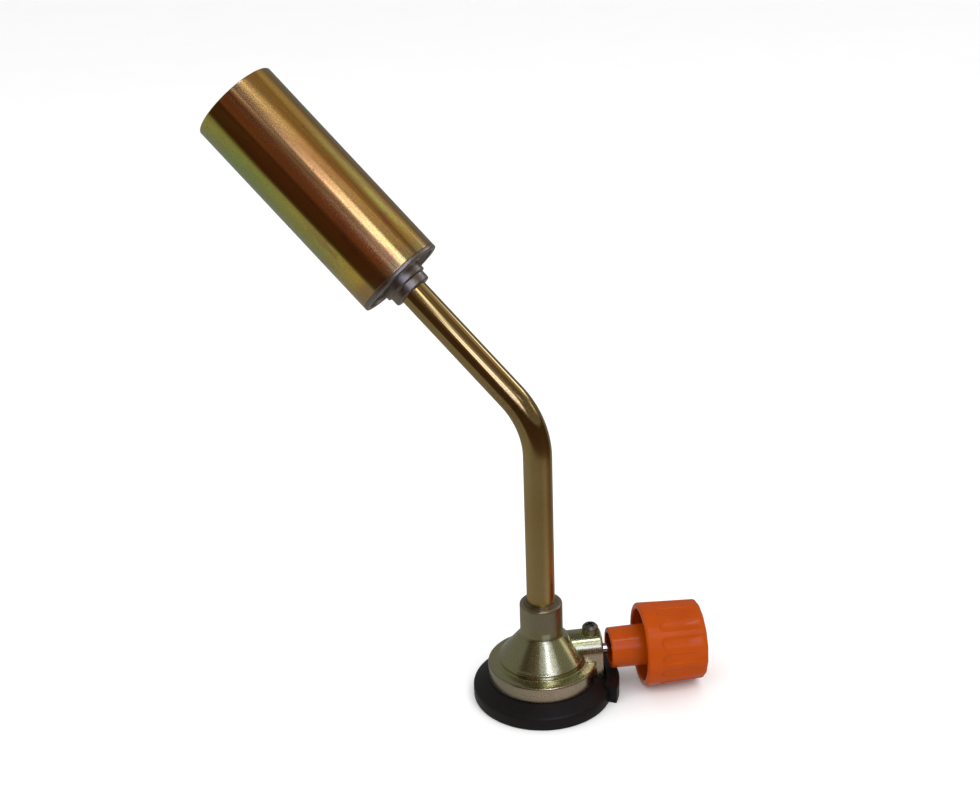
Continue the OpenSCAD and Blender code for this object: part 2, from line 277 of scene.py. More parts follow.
def block(place, size, centre):
    bm = bmesh.new()
    bmesh.ops.create_cube(bm, size=1)
    bmesh.ops.scale(bm, vec=size, verts=bm.verts)
    bmesh.ops.translate(bm, vec=centre, verts=bm.verts)
    bmesh.ops.transform(bm, matrix=place, verts=bm.verts)
    return finish_mesh("cutter", bm)


def place_piece(obj, body, slot, *nodes, material=None):
    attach(obj, body)
    if nodes:
        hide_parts(*nodes)
    obj.data.materials.clear()
    obj.data.materials.append(material or MATERIAL[slot])


# ---------------------------------------------------------------- node helpers


class Nodes:
    """Short names for building a material's node tree."""

    def __init__(self, tree):
        self.t, self.n, self.l = tree, tree.nodes, tree.links
        self.n.clear()

    def make(self, kind, **props):
        node = self.n.new(kind)
        for k, v in props.items():
            setattr(node, k, v)
        return node

    def put(self, socket, value):
        if isinstance(value, bpy.types.NodeSocket):
            self.l.new(value, socket)
        elif value is not None:
            socket.default_value = value

    def math(self, op, a, b=None):
        node = self.make("ShaderNodeMath", operation=op)
        self.put(node.inputs[0], a)
        self.put(node.inputs[1], b)
        return node.outputs[0]

    def vmath(self, op, a, b=None):
        node = self.make("ShaderNodeVectorMath", operation=op)
        self.put(node.inputs[0], a)
        if b is not None:
            self.put(node.inputs[3] if op == "SCALE" else node.inputs[1], b)
        return node.outputs["Value"] if op == "DOT_PRODUCT" else node.outputs[0]

    def window(self, v, lo, hi, soft):
        """1 between lo and hi, falling smoothly to 0 over soft on both sides."""
        rise = self.span(v, lo - soft, lo + soft, 0, 1, "SMOOTHSTEP")
        fall = self.span(v, hi - soft, hi + soft, 1, 0, "SMOOTHSTEP")
        return self.math("MULTIPLY", rise, fall)

    def span(self, v, lo, hi, a, b, kind):
        node = self.make("ShaderNodeMapRange", interpolation_type=kind)
        self.put(node.inputs[0], v)
        for i, x in zip((1, 2, 3, 4), (lo, hi, a, b)):
            node.inputs[i].default_value = x
        return node.outputs[0]

    def step(self, v, lo, hi):
        """0 at lo and 1 at hi, with smooth ends."""
        return self.span(v, lo, hi, 0, 1, "SMOOTHSTEP")

    def mapped(self, v, lo, hi, a, b):
        """a at lo and b at hi, in a straight line and held beyond them."""
        return self.span(v, lo, hi, a, b, "LINEAR")

    def around(self, x, y):
        """Degrees round the upright axis from the front, -Y, towards +X."""
        return self.math("MULTIPLY", self.math("ARCTAN2", x, self.math("MULTIPLY", y, -1.0)), DEGREES)

    def tinted(self, fac, color, tint):
        """color multiplied by tint where fac is 1."""
        return self.mix(fac, color, self.mix(1.0, color, tint, "MULTIPLY"))

    def noise(self, vec, scale, detail, rough=0.55, seed=0.0):
        node = self.make("ShaderNodeTexNoise", noise_dimensions="4D")
        self.put(node.inputs["Vector"], vec)
        node.inputs["W"].default_value = seed
        node.inputs["Scale"].default_value = scale
        node.inputs["Detail"].default_value = detail
        node.inputs["Roughness"].default_value = rough
        return node.outputs["Fac"]

    def mix(self, fac, a, b, mode="MIX"):
        node = self.make("ShaderNodeMix", data_type="RGBA", blend_type=mode)
        self.put(node.inputs[0], fac)
        for s, v in ((node.inputs[6], a), (node.inputs[7], b)):
            self.put(s, (*v, 1) if isinstance(v, tuple) and len(v) == 3 else v)
        return node.outputs[2]

    def ramp(self, fac, stops):
        node = self.make("ShaderNodeValToRGB")
        el = node.color_ramp.elements
        while len(el) > 1:
            el.remove(el[-1])
        el[0].position, el[0].color = stops[0][0], (*stops[0][1], 1)
        for p, c in stops[1:]:
            e = el.new(p)
            e.color = (*c, 1)
        self.put(node.inputs[0], fac)
        return node.outputs[0]

    def coords(self, place=None):
        """Object coordinates in mm, in the frame of place if given."""
        v = self.make("ShaderNodeTexCoord").outputs["Object"]
        v = self.vmath("SCALE", v, 1000.0)
        if place is None:
            return v
        inv = place.inverted()
        node = self.make("ShaderNodeCombineXYZ")
        for i in range(3):
            row = inv[i]
            dot = self.vmath("DOT_PRODUCT", v, (row[0], row[1], row[2]))
            self.put(node.inputs[i], self.math("ADD", dot, row[3]))
        return node.outputs[0]

    def split(self, v):
        node = self.make("ShaderNodeSeparateXYZ")
        self.put(node.inputs[0], v)
        return node.outputs

    def bump(self, height, strength, distance):
        node = self.make("ShaderNodeBump")
        node.inputs["Strength"].default_value = strength
        node.inputs["Distance"].default_value = distance * MM
        self.put(node.inputs["Height"], height)
        return node.outputs[0]

    def principled(self, color, rough, metal, normal=None, **more):
        node = self.make("ShaderNodeBsdfPrincipled")
        self.put(node.inputs["Base Color"], color)
        self.put(node.inputs["Roughness"], rough)
        node.inputs["Metallic"].default_value = metal
        self.put(node.inputs["Normal"], normal)
        for k, v in more.items():
            self.put(node.inputs[k.replace("_", " ")], v)
        self.output(node)

    def output(self, node):
        self.l.new(node.outputs[0], self.make("ShaderNodeOutputMaterial").inputs[0])


def new_material(name):
    m = bpy.data.materials.new(name)
    m.use_nodes = True
    return m, Nodes(m.node_tree)


MATERIAL = {}


def mat_tube():
    """Gold-coloured plating, polished on the slanted run and duller below the bend."""
    m, n = new_material("gold_tube")
    v = n.coords()
    x, y, z = n.split(v)
    big = n.noise(v, 0.06, 2)
    fine = n.noise(v, 2.2, 4)
    col = n.mix(n.mapped(big, 0.35, 0.65, 0, 1), (0.50, 0.345, 0.125), (0.56, 0.40, 0.17))
    col = n.mix(n.mapped(fine, 0.45, 0.7, 0, 0.35), col, (0.44, 0.29, 0.10))
    low = n.step(z, 88, 72)
    # painted reflection: the upright run is painted lighter, most of all a little right of its front
    painted_reflection_lift = n.mapped(n.window(n.around(x, y), 12, 30, 10), 0, 1, 1.18, 1.6)
    col = n.mix(low, col, n.vmath("SCALE", col, painted_reflection_lift))
    bend = n.window(z, 86, 98, 8)
    worn = n.math("MULTIPLY", bend, n.step(n.noise(v, 1.7, 4), 0.42, 0.56))
    col = n.mix(n.math("MULTIPLY", worn, 0.5), col, (0.24, 0.15, 0.06))
    gloss = n.math("MAXIMUM", n.mapped(low, 0, 1, 0.06, 0.28), n.mapped(bend, 0, 1, 0.06, 0.15))
    rough = n.math("ADD", gloss, n.mapped(fine, 0.3, 0.7, -0.01, 0.02))
    grain = n.math("MULTIPLY", n.noise(v, 3.0, 3), n.mapped(n.math("MAXIMUM", low, bend), 0, 1, 0.1, 2.0))
    n.principled(col, rough, 1.0, n.bump(grain, 0.025, 0.015))
    MATERIAL["gold_tube"] = m


# Tint of the passivation round the flame tube, as (part of a turn, colour)
FLAME_TINTS = (
    (0.00, (0.60, 0.50, 0.14)), (0.08, (0.42, 0.44, 0.30)), (0.16, (0.56, 0.60, 0.22)),
    (0.215, (0.80, 0.72, 0.16)), (0.234, (0.86, 0.74, 0.16)), (0.243, (0.44, 0.40, 0.06)),
    (0.256, (0.55, 0.29, 0.07)), (0.277, (0.66, 0.31, 0.09)), (0.300, (0.86, 0.42, 0.13)),
    (0.318, (0.70, 0.31, 0.10)), (0.342, (0.62, 0.33, 0.15)), (0.375, (0.74, 0.46, 0.19)),
    (0.408, (0.72, 0.44, 0.15)), (0.440, (0.78, 0.40, 0.10)), (0.466, (0.80, 0.45, 0.10)),
    (0.484, (0.78, 0.47, 0.12)), (0.52, (0.62, 0.40, 0.12)), (0.59, (0.42, 0.41, 0.26)),
    (0.72, (0.66, 0.42, 0.11)), (0.86, (0.62, 0.34, 0.12)), (1.0, (0.60, 0.50, 0.14)),
)


def mat_flame():
    """Yellow-passivated steel: green-gold on one flank turning to copper and brown round the tube."""
    m, n = new_material("iridescent_steel")
    v = n.coords(BURNER)
    x, y, s = n.split(v)
    wobble = n.noise(n.vmath("MULTIPLY", v, (1.0, 1.0, 0.3)), 0.09, 3, seed=3.1)
    turn = n.math("DIVIDE", n.math("ARCTAN2", y, x), 2 * math.pi)
    turn = n.math("FRACT", n.math("ADD", n.math("ADD", turn, 1.0), n.mapped(wobble, 0.3, 0.7, -0.006, 0.006)))
    col = n.ramp(turn, FLAME_TINTS)
    flank = n.window(turn, 0.05, 0.24, 0.012)
    # the flank is greener two thirds of the way up and tanner at the base
    cool = n.math("MULTIPLY", flank, n.window(s, 80, 103, 8))
    col = n.tinted(cool, col, (0.80, 0.97, 1.0))
    tan = n.math("MULTIPLY", flank, n.step(s, 64, 50))
    col = n.tinted(tan, col, (1.35, 1.05, 0.9))
    col = n.tinted(n.math("MULTIPLY", flank, n.step(s, 51, 46)), col, (0.80, 0.58, 0.98))
    # painted highlight: a halo of light painted beside the highlight on the lower half
    glow = n.math("MULTIPLY", n.window(turn, 0.325, 0.365, 0.02), n.step(s, 84, 66))
    col = n.tinted(glow, col, (1.4, 1.35, 1.4))
    # a yellow-green patch on the far shoulder, part of the way along
    patch = n.math("MULTIPLY", n.window(turn, 0.472, 0.497, 0.012), n.window(s, 57, 88, 8))
    col = n.mix(patch, col, (0.74, 0.62, 0.18))
    # painted highlight: the patch is painted brighter near the base
    bright = n.math("MULTIPLY", n.window(turn, 0.470, 0.492, 0.012), n.window(s, 53, 68, 8))
    col = n.mix(bright, col, (0.98, 0.88, 0.24))
    # slow drift along the tube between copper and olive gold
    drift = n.noise(n.vmath("MULTIPLY", v, (1.0, 1.0, 0.35)), 0.07, 2, seed=9.2)
    col = n.mix(n.math("MULTIPLY", n.step(drift, 0.50, 0.62), 0.42), col, (0.66, 0.27, 0.11))
    col = n.mix(n.math("MULTIPLY", n.step(drift, 0.47, 0.36), 0.38), col, (0.62, 0.55, 0.15))
    col = n.mix(n.math("MULTIPLY", n.step(s, 49.5, 45.5), 0.6), col, (0.58, 0.50, 0.25))
    blotch = n.noise(n.vmath("MULTIPLY", v, (1.0, 1.0, 0.45)), 0.28, 3, seed=7.7)
    foot = n.mapped(n.step(s, 78, 52), 0, 1, 0.12, 0.6)
    col = n.mix(n.math("MULTIPLY", n.step(blotch, 0.54, 0.66), foot), col, (0.62, 0.24, 0.17))
    # drawing lines along the tube, strongest off the flank
    lines = n.noise(n.vmath("MULTIPLY", v, (1.0, 1.0, 0.02)), 0.75, 3, 0.6, seed=4.4)
    col = n.mix(n.math("MULTIPLY", n.step(lines, 0.50, 0.66), n.mapped(flank, 0, 1, 0.42, 0.08)), col,
                (0.30, 0.12, 0.035))
    fine = n.noise(v, 1.9, 5, 0.65)
    col = n.mix(n.mapped(fine, 0.46, 0.7, 0, 0.38), col, (0.40, 0.19, 0.07))
    pits = n.step(n.noise(v, 1.1, 2, 0.5, seed=1.3), 0.68, 0.74)
    col = n.mix(n.math("MULTIPLY", pits, 0.5), col, (0.20, 0.11, 0.05))
    rough = n.mapped(fine, 0.3, 0.7, 0.11, 0.18)
    n.principled(col, rough, 1.0, n.bump(n.noise(v, 2.0, 4, 0.6), 0.19, 0.03))
    MATERIAL["iridescent_steel"] = m


def mat_zinc():
    """Yellow-passivated die casting with a fine grain: green-gold cone, greyer neck, pinkish sides."""
    m, n = new_material("zinc_casting")
    v = n.coords()
    x, y, z = n.split(v)
    big = n.noise(v, 0.12, 2)
    fine = n.noise(v, 2.6, 4, 0.6)
    col = n.mix(n.mapped(big, 0.35, 0.65, 0, 1), (0.52, 0.50, 0.20), (0.50, 0.46, 0.22))
    col = n.mix(n.math("MULTIPLY", n.step(z, 19.5, 26), 0.8), col, (0.52, 0.435, 0.31))
    radius = n.math("SQRT", n.math("ADD", n.math("MULTIPLY", x, x), n.math("MULTIPLY", y, y)))
    edge = n.math("MULTIPLY", n.step(radius, 15.2, 15.6), n.step(z, 11.1, 10.7))
    flank = n.window(n.math("ABSOLUTE", y), 4.95, 5.6, 0.1)
    clear = n.math("MAXIMUM", n.step(z, 11.3, 11.6), n.step(radius, 15.5, 15.8))
    flank = n.math("MULTIPLY", flank, n.math("MULTIPLY", clear, n.step(x, 11, 12)))
    cheek = n.math("MULTIPLY", flank, n.step(z, 13.9, 13.1))
    # painted highlight: a light strip painted down the front of the cone
    pale = n.math("MULTIPLY", n.window(n.around(x, y), -7, 13, 6), n.window(z, 11.7, 22.5, 0.5))
    col = n.mix(pale, col, (0.98, 0.94, 0.64))
    # painted light: the barrel's lower front is painted lighter, and pinker
    painted_belly_light = n.math("MULTIPLY", n.step(x, 11, 12), n.window(z, 13.4, 15.5, 0.8))
    col = n.mix(painted_belly_light, col, (0.84, 0.64, 0.42))
    # painted shade: a dark band painted along the barrel's front
    painted_shade_band = n.math("MULTIPLY", n.step(x, 11, 12), n.window(z, 16.1, 16.7, 0.25))
    col = n.mix(n.math("MULTIPLY", painted_shade_band, 0.6), col, (0.34, 0.30, 0.16))
    # painted shade: the disc's edge is painted darker towards the left; the barrel's lower flat sides take
    # the light pinkish end
    rim_tone_and_shade = n.mix(n.mapped(x, -17, -2, 0, 1), (0.36, 0.33, 0.20), (0.88, 0.68, 0.45))
    col = n.mix(n.math("MAXIMUM", edge, cheek), col, rim_tone_and_shade)
    col = n.mix(n.mapped(fine, 0.45, 0.75, 0, 0.35), col, (0.30, 0.25, 0.10))
    neck = n.step(z, 19, 21)
    rough = n.math("ADD", n.mapped(fine, 0.3, 0.7, 0.19, 0.31), n.mapped(neck, 0, 1, 0, 0.14))
    n.principled(col, rough, 1.0, n.bump(n.noise(v, 2.7, 4, 0.62), 0.2, 0.035),
                 Coat_Weight=n.mapped(neck, 0, 1, 1.0, 0.2), Coat_Roughness=0.12, Coat_IOR=1.8)
    MATERIAL["zinc_casting"] = m


def mat_ring():
    m, n = new_material("ring_plastic")
    v = n.coords()
    fine = n.noise(v, 1.4, 4)
    col = n.mix(n.mapped(fine, 0.3, 0.7, 0, 1), (0.0050, 0.0038, 0.0036), (0.0085, 0.0062, 0.0058))
    n.principled(col, n.mapped(fine, 0.3, 0.7, 0.34, 0.48), 0.0, n.bump(n.noise(v, 4, 3), 0.2, 0.02),
                 Specular_IOR_Level=0.35)
    MATERIAL["ring_plastic"] = m


def mat_knob():
    m, n = new_material("knob_plastic")
    v = n.coords(SPINDLE)
    big = n.noise(v, 0.15, 2)
    fine = n.noise(v, 3.0, 3)
    col = n.mix(n.mapped(big, 0.35, 0.65, 0, 1), (0.375, 0.052, 0.0010), (0.405, 0.059, 0.0018))
    n.principled(col, n.mapped(fine, 0.3, 0.7, 0.17, 0.24), 0.0, n.bump(fine, 0.05, 0.02),
                 Specular_IOR_Level=0.2)
    MATERIAL["knob_plastic"] = m


def mat_metal(name, a, b, rough, grain=2.0, bumpiness=0.1, metal=1.0, place=None, squash=(1, 1, 1)):
    m, n = new_material(name)
    v = n.vmath("MULTIPLY", n.coords(place), tuple(float(s) for s in squash))
    fine = n.noise(v, grain, 4)
    col = n.mix(n.mapped(fine, 0.3, 0.7, 0, 1), a, b)
    n.principled(col, n.mapped(fine, 0.3, 0.7, rough[0], rough[1]), metal, n.bump(fine, bumpiness, 0.02))
    MATERIAL[name] = m


def mat_gland():
    """Dark screw head whose foot is plated over with the casting's yellow-green."""
    m, n = new_material("gland_steel")
    v = n.coords()
    fine = n.noise(v, 2.0, 4)
    dark = n.mix(n.mapped(fine, 0.3, 0.7, 0, 1), (0.24, 0.22, 0.18), (0.34, 0.31, 0.25))
    col = n.mix(n.step(n.split(v)[2], 19.5, 19.9), (0.50, 0.48, 0.22), dark)
    n.principled(col, n.mapped(fine, 0.3, 0.7, 0.34, 0.46), 1.0, n.bump(fine, 0.1, 0.02))
    MATERIAL["gland_steel"] = m


def make_materials():
    mat_tube()
    mat_flame()
    mat_zinc()
    mat_gland()
    mat_ring()
    mat_knob()
    mat_metal("plain_steel", (0.5, 0.5, 0.5), (0.6, 0.6, 0.58), (0.25, 0.38))
    mat_metal("turned_brass", (0.62, 0.42, 0.16), (0.7, 0.5, 0.22), (0.18, 0.3))
    mat_metal("seal_rubber", (0.012, 0.012, 0.012), (0.02, 0.02, 0.02), (0.5, 0.62), metal=0.0)
    mat_metal("sintered_bronze", (0.35, 0.2, 0.1), (0.5, 0.32, 0.16), (0.5, 0.7), grain=5, bumpiness=0.6)
    turned_look = dict(place=SPINDLE, squash=(1, 1, 6))
    mat_metal("bright_steel", (0.66, 0.66, 0.64), (0.74, 0.73, 0.7), (0.1, 0.18), **turned_look)
    mat_metal("warm_steel", (0.72, 0.61, 0.50), (0.80, 0.70, 0.60), (0.1, 0.18), **turned_look)
    mat_metal("dark_steel", (0.30, 0.28, 0.22), (0.40, 0.37, 0.30), (0.27, 0.38))
    mat_metal("solder", (0.26, 0.22, 0.15), (0.36, 0.31, 0.21), (0.32, 0.45), grain=1.2, bumpiness=0.3)
    mat_metal("grey_casting", (0.30, 0.255, 0.215), (0.42, 0.365, 0.32), (0.27, 0.42), grain=1.6,
              bumpiness=0.35)


# ---------------------------------------------------------------- pieces


def make_lock_ring():
    def body(bm):
        well = BOSS_R + 0.1
        pts = [(RING_BORE, 0), (RING_R, 0), (RING_R, RING_WALL), (DISC_R, RING_H), (well, RING_H),
               (well, FLANGE_Z), (RING_BORE, FLANGE_Z)]
        spin(bm, rounded(pts, [0.3, 0.5, 0.9, 0.2, 0.1, 0.1, 0.6]), UPRIGHT, 240)

    def lug(bm):
        root, out, top = RING_R - 1.5, RING_R + LUG_OUT, RING_H - 0.6
        pts = [(root, 0), (out, 0), (out, top), (root, top)]
        spin(bm, rounded(pts, [0, 0.4, 0.9, 0]), UPRIGHT, 48, start=-LUG_HALF, sweep=2 * LUG_HALF)

    place_piece(join_bm("lock_ring_moulding", [body, lug]), TORCH, "ring_plastic", "lock_ring")


def make_bayonet():
    bore = BOSS_R + 0.1
    washer = [(bore, PLATE_Z), (PLATE_R, PLATE_Z), (PLATE_R, FLANGE_Z), (bore, FLANGE_Z)]
    plate = turned("bayonet_disc", washer, [0.12, 0.2, 0.05, 0.05])
    cut(plate, *[rod(UPRIGHT, SCREW_HOLE_R, 3, 5, 32, *polar(SCREW_PCD, a)) for a in SCREW_ANGLES])
    place_piece(smooth(plate), TORCH, "plain_steel", "bayonet_plate")

    inner, foot = CLAW_R0 + PLATE_T, BOSS_Z + PLATE_T
    claw = [(CLAW_R0, PLATE_Z), (CLAW_R0, BOSS_Z), (CLAW_TIP, BOSS_Z), (CLAW_TIP, foot), (inner, foot),
            (inner, PLATE_Z)]
    for k in range(3):
        bm = bmesh.new()
        spin(bm, rounded(claw, [0, 0.8, 0.3, 0.3, 0.3, 0]), UPRIGHT, 20, start=120 * k - CLAW_DEG / 2,
             sweep=CLAW_DEG)
        place_piece(finish_mesh(f"bayonet_claw_{k + 1}", bm), TORCH, "plain_steel", "bayonet_plate")


def screw_head(name, place, r, under, top, dome, slot_turn, slot_depth):
    """A domed head with a pressed cross recess."""
    pts = [(0, under), (r, under), (r, top - dome), (r * 0.72, top - dome * 0.3), (0, top)]
    head = turned(name, pts, [0, 0.12, 0.35, 0.8, 0], place, 64, closed=False)
    arms = []
    for turn in (slot_turn, slot_turn + 90):
        spot = place @ Matrix.Rotation(math.radians(turn), 4, "Z")
        arms.append(block(spot, (r * 1.25, r * 0.28, slot_depth * 2), (0, 0, top)))
    for arm in arms:
        cut(head, arm)
    return smooth(head, 28)


def make_plate_screws():
    for k, a in enumerate(SCREW_ANGLES):
        spot = Matrix.Translation((*polar(SCREW_PCD, a), 0))
        flip = spot @ Matrix.Rotation(math.pi, 4, "X")
        head = screw_head(f"plate_screw_head_{k + 1}", flip, SCREW_HEAD_R, -PLATE_Z, -PLATE_Z + SCREW_HEAD_T,
                          0.45, 17 + 40 * k, 0.7)
        place_piece(head, TORCH, "bright_steel", "plate_screws")
        ridges = thread(SCREW_R, 0.85, PLATE_Z - 0.1, SCREW_TOP, 0.5)
        shank = turned(f"plate_screw_shank_{k + 1}", ridges, None, spot, 32, closed=False)
        place_piece(shank, TORCH, "bright_steel", "plate_screws")


def thread(crest, root, z0, z1, pitch):
    """Outline of a ridged shank, closed on its axis."""
    pts, z = [(0, z0)], z0
    while z + pitch < z1:
        pts += [(root, z), (crest, z + pitch * 0.5)]
        z += pitch
    return pts + [(root, z), (root * 0.8, z1), (0, z1)]


def barrel_bm(bm):
    """The spindle barrel: a round top over flat sides, its foot lying on the ring's sloping top."""
    outline = [(-BARREL_R, None)] + [
        (-BARREL_R * math.cos(math.radians(a)), BARREL_Z + BARREL_R * math.sin(math.radians(a)))
        for a in range(0, 181, 6)
    ] + [(BARREL_R, None)] + [(BARREL_R * (1 - k / 6), None) for k in range(1, 12)]
    fall = (RING_H - RING_WALL) / (RING_R - DISC_R)
    rows = []
    for x in (2.0, 8.0, 12.0, 14.0, 15.4, 16.2, BARREL_X - 0.35, BARREL_X):
        scale = 1 - 0.3 / BARREL_R if x == BARREL_X else 1.0
        row = []
        for y, z in outline:
            if z is None:
                foot = RING_H + 0.02 - fall * max(0.0, math.hypot(x, y) - DISC_R)
                row.append(bm.verts.new((x, y * scale, foot)))
            else:
                row.append(bm.verts.new((x, y * scale, BARREL_Z + (z - BARREL_Z) * scale)))
        rows.append(row)
    for p, q in zip(rows, rows[1:]):
        for i in range(len(p)):
            k = (i + 1) % len(p)
            bm.faces.new((p[i], p[k], q[k], q[i]))
    bm.faces.new(rows[0])
    bm.faces.new(rows[-1])


def make_valve_body():
    step_r = CONE_R + 0.5
    pts = [(0, BOSS_Z), (BOSS_R, BOSS_Z), (BOSS_R, RING_H), (DISC_R, RING_H), (DISC_R, DISC_TOP),
           (13.6, DISC_TOP + 0.12), (step_r, DISC_TOP + 0.3), (step_r, CONE_Z - 0.45), (CONE_R, CONE_Z),
           (NECK_R, NECK_Z), (NECK_R, NECK_TOP), (0, NECK_TOP)]
    radii = [0, 0.2, 0.2, 0.3, 0.35, 3.0, 0.4, 0.4, 0.2, 1.6, 0.55, 0]
    obj = turned("valve_body_casting", pts, radii, segs=200, closed=False)
    barrel = join_bm("barrel", [barrel_bm])
    union = obj.modifiers.new("barrel", "BOOLEAN")
    union.operation, union.solver, union.object = "UNION", "EXACT", barrel
    apply_mods(obj)
    bpy.data.objects.remove(barrel)
    # the casting's inner corners run into one another
    remesh = obj.modifiers.new("blend", "REMESH")
    remesh.mode, remesh.voxel_size = "VOXEL", 0.17 * MM
    relax = obj.modifiers.new("relax", "SMOOTH")
    relax.factor, relax.iterations = 0.5, 9
    apply_mods(obj)
    inlet = [(0, 0), (SEAL_R, 0), (SEAL_R, SEAL_TOP), (NOZZLE_R, SEAL_TOP), (NOZZLE_R, NOZZLE_TOP),
             (GALLERY_R, NOZZLE_TOP), (GALLERY_R, AXIS_Z), (0, AXIS_Z)]
    socket = [(0, SOCKET_Z), (TUBE_R, SOCKET_Z), (TUBE_R, 29.2), (5.1, NECK_TOP + 0.01), (5.6, 31), (0, 31)]
    pilot = [(0, 3), (SCREW_R, 3), (SCREW_R, SCREW_TOP), (0, SCREW_TOP)]
    bore = [(0, -2), (1.6, -2), (1.6, SEAT_X), (SEAT_R, SEAT_X), (SEAT_R, BUSH_X), (BUSH_R, BUSH_X),
            (BUSH_R, BARREL_X - 0.25), (3.95, BARREL_X + 0.1), (3.95, 18.5), (0, 18.5)]
    seat_r = GLAND_R + 0.08
    gland = [(0, AXIS_Z + 3.0), (1.2, AXIS_Z + 3.0), (1.2, GLAND_SEAT), (seat_r, GLAND_SEAT), (seat_r, 22),
             (0, 22)]
    cut(obj, lathe_cutter(UPRIGHT, inlet), lathe_cutter(UPRIGHT, socket, 96),
        *[lathe_cutter(Matrix.Translation((*polar(SCREW_PCD, a), 0)), pilot, 32) for a in SCREW_ANGLES])
    cut(obj, lathe_cutter(SPINDLE, bore, 72))
    cut(obj, lathe_cutter(GLAND, gland, 48))
    place_piece(smooth(obj, 40), TORCH, "zinc_casting", "valve_body")


def make_inlet():
    nozzle = [(STEM_R, NOZZLE_Z), (NOZZLE_R, NOZZLE_Z), (NOZZLE_R, NOZZLE_TOP), (FILTER_R, NOZZLE_TOP),
              (FILTER_R, FILTER_Z), (STEM_R, FILTER_Z)]
    brass = turned("inlet_nozzle_brass", nozzle, [0.3, 0.25, 0.1, 0.1, 0, 0], segs=96)
    place_piece(brass, TORCH, "turned_brass", "inlet_nozzle")
    seal = [(NOZZLE_R, SEAL_Z), (SEAL_R, SEAL_Z), (SEAL_R, SEAL_TOP), (NOZZLE_R, SEAL_TOP)]
    rubber = turned("inlet_seal_rubber", seal, [0.5, 0.5, 0.1, 0.1], segs=128)
    place_piece(rubber, TORCH, "seal_rubber", "inlet_seal")
    pad = [(0, FILTER_Z), (FILTER_R, FILTER_Z), (FILTER_R, FILTER_TOP), (0, FILTER_TOP)]
    disc = turned("inlet_filter_disc", pad, [0, 0.15, 0.15, 0], segs=64, closed=False)
    spots = [(0.0, 0.0)] + [polar(FILTER_PCD, 60 * k) for k in range(6)]
    holes = [rod(UPRIGHT, FILTER_HOLE_R, FILTER_Z - 1, FILTER_TOP + 1, 20, *spot) for spot in spots]
    place_piece(smooth(cut(disc, *holes)), TORCH, "sintered_bronze", "inlet_filter")
    seat = [(SEAT_BORE, SEAT_X), (SEAT_R, SEAT_X), (SEAT_R, SEAT_END), (SEAT_BORE, SEAT_END)]
    ring = turned("valve_seat_brass", seat, [0.1, 0.1, 0.1, 0.2], SPINDLE, 64)
    place_piece(ring, TORCH, "turned_brass", "valve_seat")


def make_spindle():
    # needle and its shoulder, then the plunger with a groove for each O-ring, then the shaft
    pts = [(0, 1.2), (0.54, 1.2), (0.54, 3.1), (1.6, 4.4), (1.6, 5.2), (PLUNGER_R, 5.2)]
    radii = [0, 0.2, 0, 0, 0, 0.15]
    for g in GROOVES:
        pts += [(PLUNGER_R, g), (GROOVE_R, g), (GROOVE_R, g + GROOVE_W), (PLUNGER_R, g + GROOVE_W)]
        radii += [0.1, 0.1, 0.1, 0.1]
    pts += [(PLUNGER_R, PLUNGER_END), (SPINDLE_R, PLUNGER_END), (SPINDLE_R, SHAFT_END), (0, SHAFT_END)]
    radii += [0.15, 0, 0.3, 0]
    shaft = turned("spindle_turned", pts, radii, SPINDLE, 72, closed=False)
    place_piece(shaft, KNOB, "bright_steel", "spindle", material=MATERIAL["warm_steel"])
    for k, g in enumerate(GROOVES):
        ring = [(1.9 + CORD_R * math.cos(2 * math.pi * i / 24),
                 g + GROOVE_W / 2 + CORD_R * math.sin(2 * math.pi * i / 24)) for i in range(24)]
        obj = turned(f"spindle_o_ring_{k + 1}", ring, None, SPINDLE, 72, sharp=80)
        place_piece(obj, SEALS, "seal_rubber", "spindle_o_rings")


def make_gland():
    near, far = GLAND_X - WAIST_HALF, GLAND_X + WAIST_HALF
    pts = [(BUSH_BORE, BUSH_X), (BUSH_R, BUSH_X), (BUSH_R, near), (WAIST_R, near), (WAIST_R, far),
           (BUSH_R, far), (BUSH_R, BUSH_END), (BUSH_BORE, BUSH_END)]
    bush = turned("gland_bush_brass", pts, [0.1, 0.2, 0.1, 0.1, 0.1, 0.1, 0.35, 0.3], SPINDLE, 80)
    place_piece(bush, TORCH, "turned_brass", "gland_bush")
    head = screw_head("gland_screw_head", GLAND, GLAND_R, GLAND_SEAT, GLAND_TOP, 1.05, 20, 0.9)
    place_piece(head, TORCH, "dark_steel", "gland_screw", material=MATERIAL["gland_steel"])
    ridges = thread(1.2, 0.95, GLAND_TIP, GLAND_SEAT + 0.1, 0.4)
    shank = turned("gland_screw_shank", ridges, None, GLAND, 36, closed=False)
    place_piece(shank, TORCH, "dark_steel", "gland_screw")


def tube_rows():
    """Centre, outward and sideways directions along the tube."""
    th = math.radians(BEND_DEG)
    lean = Matrix.Rotation(math.radians(BEND_AZ), 4, "Z")
    rows = [(Vector((0, 0, z)), 0.0) for z in (SOCKET_Z, 26, 30, 40, 50, 60, 68, BEND_Z - 2)]
    for k in range(33):
        a = th * k / 32
        rows.append((Vector((BEND_R * (1 - math.cos(a)), 0, BEND_Z + BEND_R * math.sin(a))), a))
    end, d = rows[-1][0], Vector((math.sin(th), 0, math.cos(th)))
    rows += [(end + d * s, th) for s in (2, 8, 14, 20, 26, 32, 38, TUBE_END)]
    turn = lean.to_3x3()
    side = turn @ Vector((0, 1, 0))
    return [(lean @ c, turn @ Vector((math.cos(a), 0, -math.sin(a))), side) for c, a in rows]


